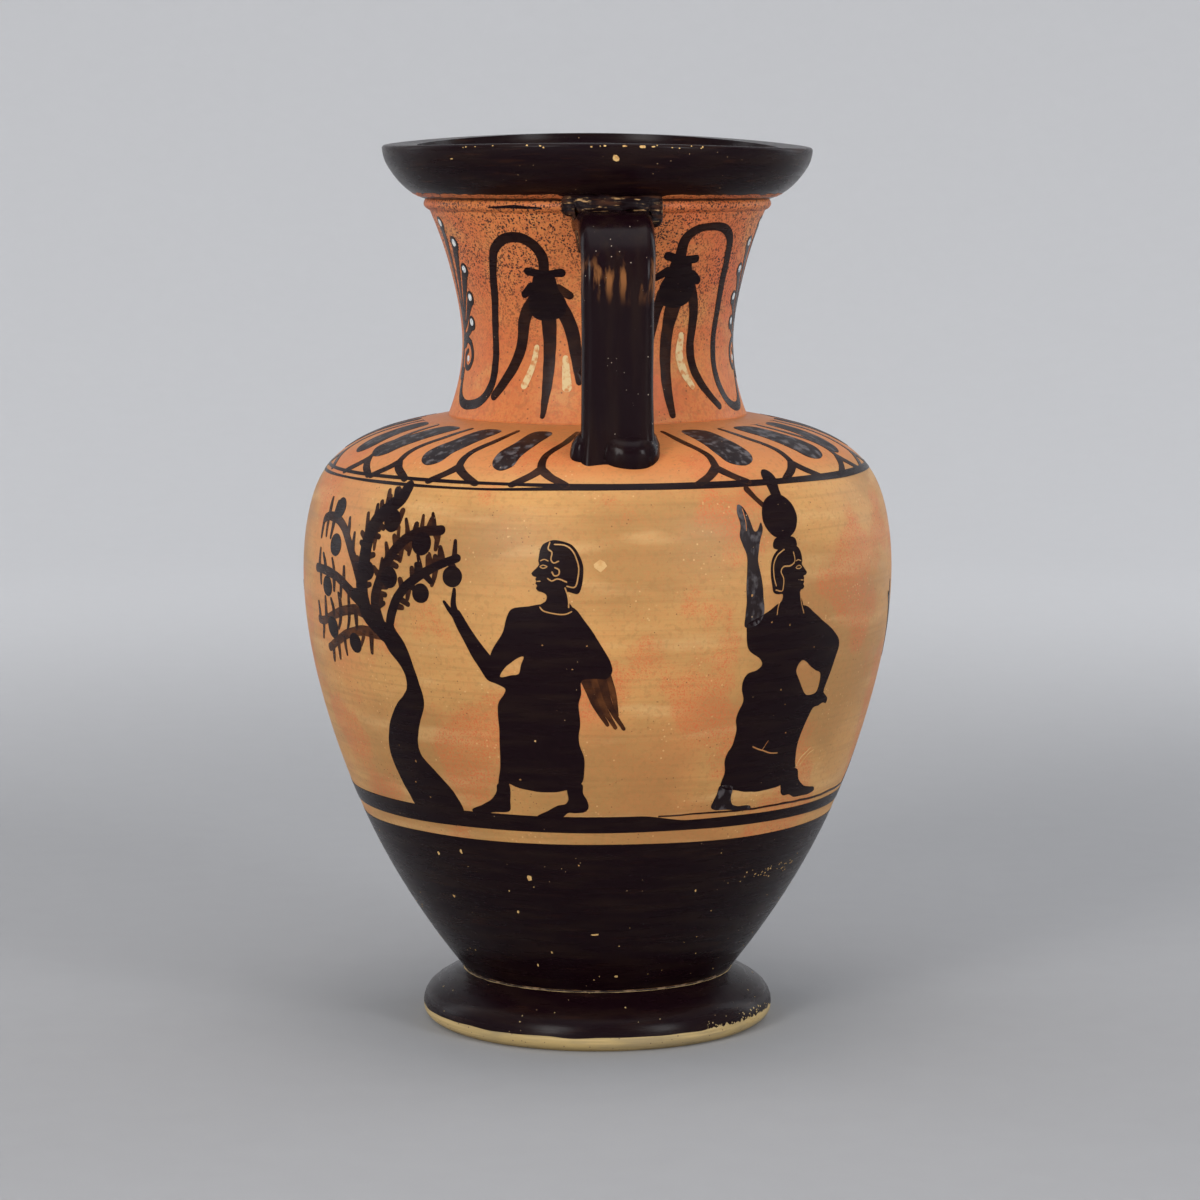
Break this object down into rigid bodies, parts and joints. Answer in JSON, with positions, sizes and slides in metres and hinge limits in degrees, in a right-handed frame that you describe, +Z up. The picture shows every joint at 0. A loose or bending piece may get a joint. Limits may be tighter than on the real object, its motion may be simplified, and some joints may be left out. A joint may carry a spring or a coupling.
{
  "type": "amphora",
  "caption": "Two-handled neck-amphora with an ovoid body, waisted neck, thick flat-lipped mouth, strap handles and a low spreading foot, painted in the black-figure manner.",
  "frame": {"origin": "on the wheel axis, in the plane that the foot rests on", "axes": "+Z up along the wheel axis; the strap handles stand towards -Y and +Y; +X is to the right when looking along +Y at the front handle"},
  "size_m": [0.2152, 0.2152, 0.322],
  "materials": {
    "red_clay": "burnished orange-red fired clay, unglazed, satin",
    "black_gloss": "fired black slip with a soft gloss, worn to the clay at edges",
    "pale_slip": "matt fired pale slip"
  },
  "bodies": {
    "root": {"foot": "black_gloss", "foot_slip": "pale_slip", "body": "red_clay", "neck_slip": "pale_slip", "neck": "red_clay", "collar": "red_clay", "mouth_slip": "pale_slip", "mouth": "black_gloss", "front_handle": "black_gloss", "front_upper_wad": "red_clay", "front_lower_wad": "black_gloss", "back_handle": "black_gloss", "back_upper_wad": "red_clay", "back_lower_wad": "black_gloss"}
  },
  "joints": []
}
